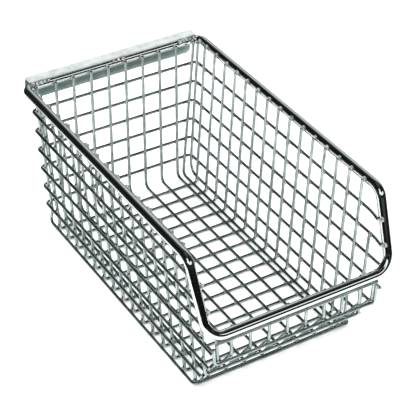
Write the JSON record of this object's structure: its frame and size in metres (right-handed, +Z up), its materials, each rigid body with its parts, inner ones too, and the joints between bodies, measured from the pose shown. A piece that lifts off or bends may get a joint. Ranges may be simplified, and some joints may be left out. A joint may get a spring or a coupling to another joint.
{
  "type": "wire mesh container",
  "caption": "Welded wire mesh storage bin with an open top, a dropped low front for picking, a heavy wire rim, and a bent strip at the back for hanging on a rail.",
  "frame": {"origin": "middle of the bin's overall footprint, on the surface it stands on", "axes": "+Z up, -Y out of the low front, +Y towards the hanger strip, +X to the right of someone facing the back of the bin from its front"},
  "size_m": [0.2122, 0.3698, 0.1753],
  "materials": {
    "rim_chrome": "bright plated, smooth",
    "lengthwise_chrome": "bright plated, smooth",
    "hoop_chrome": "bright plated, smooth",
    "side_chrome": "bright plated, smooth",
    "base_chrome": "bright plated, smooth",
    "lip_chrome": "bright plated, smooth",
    "hanger_zinc": "zinc-plated sheet, satin"
  },
  "bodies": {
    "root": {"base_wire": "base_chrome", "hanger_strip": "hanger_zinc", "hoop_wire_01": "hoop_chrome", "hoop_wire_02": "hoop_chrome", "hoop_wire_03": "hoop_chrome", "hoop_wire_04": "hoop_chrome", "hoop_wire_05": "hoop_chrome", "hoop_wire_06": "hoop_chrome", "hoop_wire_07": "hoop_chrome", "hoop_wire_08": "hoop_chrome", "hoop_wire_09": "hoop_chrome", "hoop_wire_10": "hoop_chrome", "hoop_wire_11": "hoop_chrome", "hoop_wire_12": "hoop_chrome", "hoop_wire_13": "hoop_chrome", "hoop_wire_14": "hoop_chrome", "hoop_wire_15": "hoop_chrome", "hoop_wire_16": "hoop_chrome", "hoop_wire_17": "hoop_chrome", "lengthwise_wire_01": "lengthwise_chrome", "lengthwise_wire_02": "lengthwise_chrome", "lengthwise_wire_03": "lengthwise_chrome", "lengthwise_wire_04": "lengthwise_chrome", "lengthwise_wire_05": "lengthwise_chrome", "lengthwise_wire_06": "lengthwise_chrome", "lengthwise_wire_07": "lengthwise_chrome", "lengthwise_wire_08": "lengthwise_chrome", "lengthwise_wire_09": "lengthwise_chrome", "lengthwise_wire_10": "lengthwise_chrome", "lip_wire": "lip_chrome", "rim_wire": "rim_chrome", "side_wire_1": "side_chrome", "side_wire_2": "side_chrome", "side_wire_3": "side_chrome", "side_wire_4": "side_chrome", "side_wire_5": "side_chrome", "side_wire_6": "side_chrome"}
  },
  "joints": []
}
